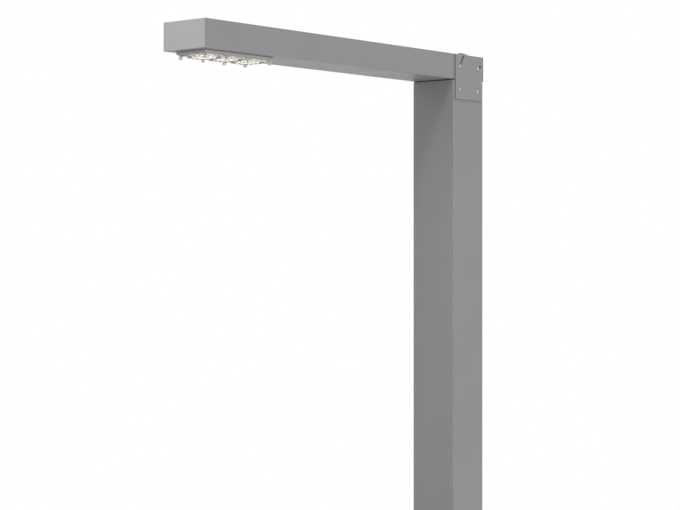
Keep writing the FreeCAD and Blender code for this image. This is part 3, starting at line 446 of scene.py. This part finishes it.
def cell(work, x, y, z, edge, drop, rings):
    """One lens cell: a rectangle of the tile's face that turns into a dome or a hollow in its middle."""
    rows = []
    for k in range(CELL_TURN):
        turn = 2 * math.pi * k / CELL_TURN
        c, s = math.cos(turn), math.sin(turn)
        side = min(LENS_PITCH_X / 2 / max(abs(c), 1e-6), LENS_PITCH_Y / 2 / max(abs(s), 1e-6))
        reach = edge(turn)
        row = [work.verts.new((x + c * side, y + s * side, z))]
        for ring in range(rings):
            part = math.cos(math.pi / 2 * ring / rings)
            fall = drop(part, turn) if ring else 0.0
            row.append(work.verts.new((x + c * reach * part, y + s * reach * part, z - fall)))
        rows.append(row)
    pole = work.verts.new((x, y, z - drop(0.0, 0.0)))
    for k, row in enumerate(rows):
        after = rows[(k + 1) % CELL_TURN]
        for a, b, c, d in zip(row, row[1:], after[1:], after):
            work.faces.new((a, b, c, d))
        work.faces.new((row[-1], pole, after[-1]))


def tile_outline(low, high):
    """The tile's outline with half-round notches at its four screw places, as points."""
    (x0, y0), (x1, y1) = low, high
    points = [(x0, y0), (x1, y0)]
    for x, turn, ys in ((x1, 1, (-BOSS_Y, BOSS_Y)), (x0, -1, (BOSS_Y, -BOSS_Y))):
        for y in ys:
            for k in range(NOTCH_STEPS + 1):
                a = math.pi * k / NOTCH_STEPS
                points.append((x - turn * NOTCH_R * math.sin(a), y - turn * NOTCH_R * math.cos(a)))
        if turn == 1:
            points += [(x1, y1), (x0, y1)]
    return points


def make_lens_tile(node, materials):
    """A clear tile of 16 peanut-shaped lenses, with a hollow over each for its LED."""
    low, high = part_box(node)
    top = high[2]
    face = low[2] + TILE_FACE
    middle = ((low[0] + high[0]) / 2, (low[1] + high[1]) / 2)
    steps = [k - (LENS_COUNT - 1) / 2 for k in range(LENS_COUNT)]
    work = bmesh.new()
    sides = (
        (face, lens_edge, lens_drop, DOME_RINGS),
        (top, cavity_edge, cavity_drop, CAVITY_RINGS),
    )
    for z, edge, drop, rings in sides:
        for a in steps:
            for b in steps:
                cell(work, middle[0] + a * LENS_PITCH_X, middle[1] + b * LENS_PITCH_Y, z, edge, drop, rings)
    bmesh.ops.remove_doubles(work, verts=work.verts, dist=1e-6)
    outline = tile_outline((low[0], low[1]), (high[0], high[1]))
    loops = []
    for z in (face, top):
        inner = [e for e in work.edges if e.is_boundary and abs(e.verts[0].co.z - z) < 1e-6]
        ring = [work.verts.new((x, y, z)) for x, y in outline]
        outer = [work.edges.new((a, b)) for a, b in zip(ring, ring[1:] + ring[:1])]
        bmesh.ops.triangle_fill(work, use_beauty=True, edges=inner + outer)
        loops.append(ring)
    lower, upper = loops
    for k in range(len(outline)):
        j = (k + 1) % len(outline)
        work.faces.new((lower[k], lower[j], upper[j], upper[k]))
    piece = finished(node + "_optic", work, BODY_OF[node], SLOT_OF[node], materials, 30)
    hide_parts(node)


def lathed(work, profile, centre, turns=40):
    """A closed ring of faces, from a closed profile of (radius, height) points about a vertical axis."""
    rows = []
    for k in range(turns):
        a = 2 * math.pi * k / turns
        c, s = math.cos(a), math.sin(a)
        places = [(centre[0] + r * c, centre[1] + r * s, centre[2] + z) for r, z in profile]
        rows.append([work.verts.new(place) for place in places])
    count = len(profile)
    for k, row in enumerate(rows):
        after = rows[(k + 1) % turns]
        for i in range(count):
            j = (i + 1) % count
            work.faces.new((row[i], row[j], after[j], after[i]))


def make_clamp_caps(materials):
    """The clear cups over the tiles' corners, with a rounded foot and lip."""
    node = "lens_clamp_caps"
    low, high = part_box(node)
    foot = high[2]
    lip = -(foot - low[2]) / MM
    work = bmesh.new()
    profile = [
        (2.15, 0), (5.2, 0), (5.45, -0.25), (5.45, -0.9), (5.0, -1.5), (4.75, lip + 0.5), (4.6, lip + 0.12),
        (4.35, lip), (4.0, lip + 0.1), (3.75, lip + 0.5), (3.72, -1.75), (3.5, -1.5), (2.15, -1.5),
    ]
    profile = [(r * MM, z * MM) for r, z in profile]
    for x in boss_xs():
        for y in (-BOSS_Y, BOSS_Y):
            lathed(work, profile, (x, y, foot))
    piece = finished("clamp_cups", work, BODY_OF[node], SLOT_OF[node], materials, 30)
    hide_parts(node)


def boss_xs():
    """Where the rows of clamp caps are along X: at the ends of every tile."""
    low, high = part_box("lens_clamp_caps")
    first, last = low[0] + CUP_R, high[0] - CUP_R
    return [first + (last - first) * k / 3 for k in range(4)]


# ---- the supply cable's slack loop ------------------------------------------------------------------------
CABLE_R = 4.5 * MM
SLACK_ROUTE = [
    (-0.036, 0, 3.752), (-0.036, 0, 3.812), (0.030, 0, 3.872), (0.030, 0, 3.975), (-0.060, 0, 3.975),
    (-0.130, 0, 3.942), (-0.205, 0, 3.942),
]


def make_slack_loop(materials):
    """The cable between the post's clip and the driver, as a tube with a loop where it crosses the arm's hinge.
    """
    node = "cable_slack_loop"
    line = bpy.data.curves.new("slack_line", "CURVE")
    line.dimensions = "3D"
    spline = line.splines.new("NURBS")
    spline.points.add(len(SLACK_ROUTE) - 1)
    for point, place in zip(spline.points, SLACK_ROUTE):
        point.co = (*place, 1.0)
    spline.order_u = 3
    spline.use_endpoint_u = True
    line.resolution_u = 16
    line.bevel_depth = CABLE_R
    line.bevel_resolution = 6
    line.use_fill_caps = True
    tube = bpy.data.objects.new("slack_tube", line)
    bpy.context.scene.collection.objects.link(tube)
    bpy.context.view_layer.update()
    mesh = bpy.data.meshes.new_from_object(tube)
    bpy.data.objects.remove(tube)
    work = bmesh.new()
    work.from_mesh(mesh)
    bpy.data.meshes.remove(mesh)
    bmesh.ops.remove_doubles(work, verts=work.verts, dist=1e-6)
    piece = finished("slack_cable", work, None, SLOT_OF[node], materials)
    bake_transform(piece)
    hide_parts(node)


REFINED = {
    "arm_body": 0.5, "arm_tip_plate": 0.4, "rear_cap": 0.6, "side_plate_front": 0.7, "side_plate_back": 0.7,
    "post_tube": 0.6, "base_plate": 1.2, "door_panel": 0.8, "module_body": 0.35,
}


def main():
    make_camera()
    make_studio()
    materials = make_materials()
    for node, piece in NODES.items():
        piece.data.materials.clear()
        piece.data.materials.append(materials[SLOT_OF[node]])
    for node, width in REFINED.items():
        refined(node, width * MM, materials)
    for node in ("lens_tile_1", "lens_tile_2", "lens_tile_3"):
        make_lens_tile(node, materials)
    make_clamp_caps(materials)
    make_slack_loop(materials)


main()
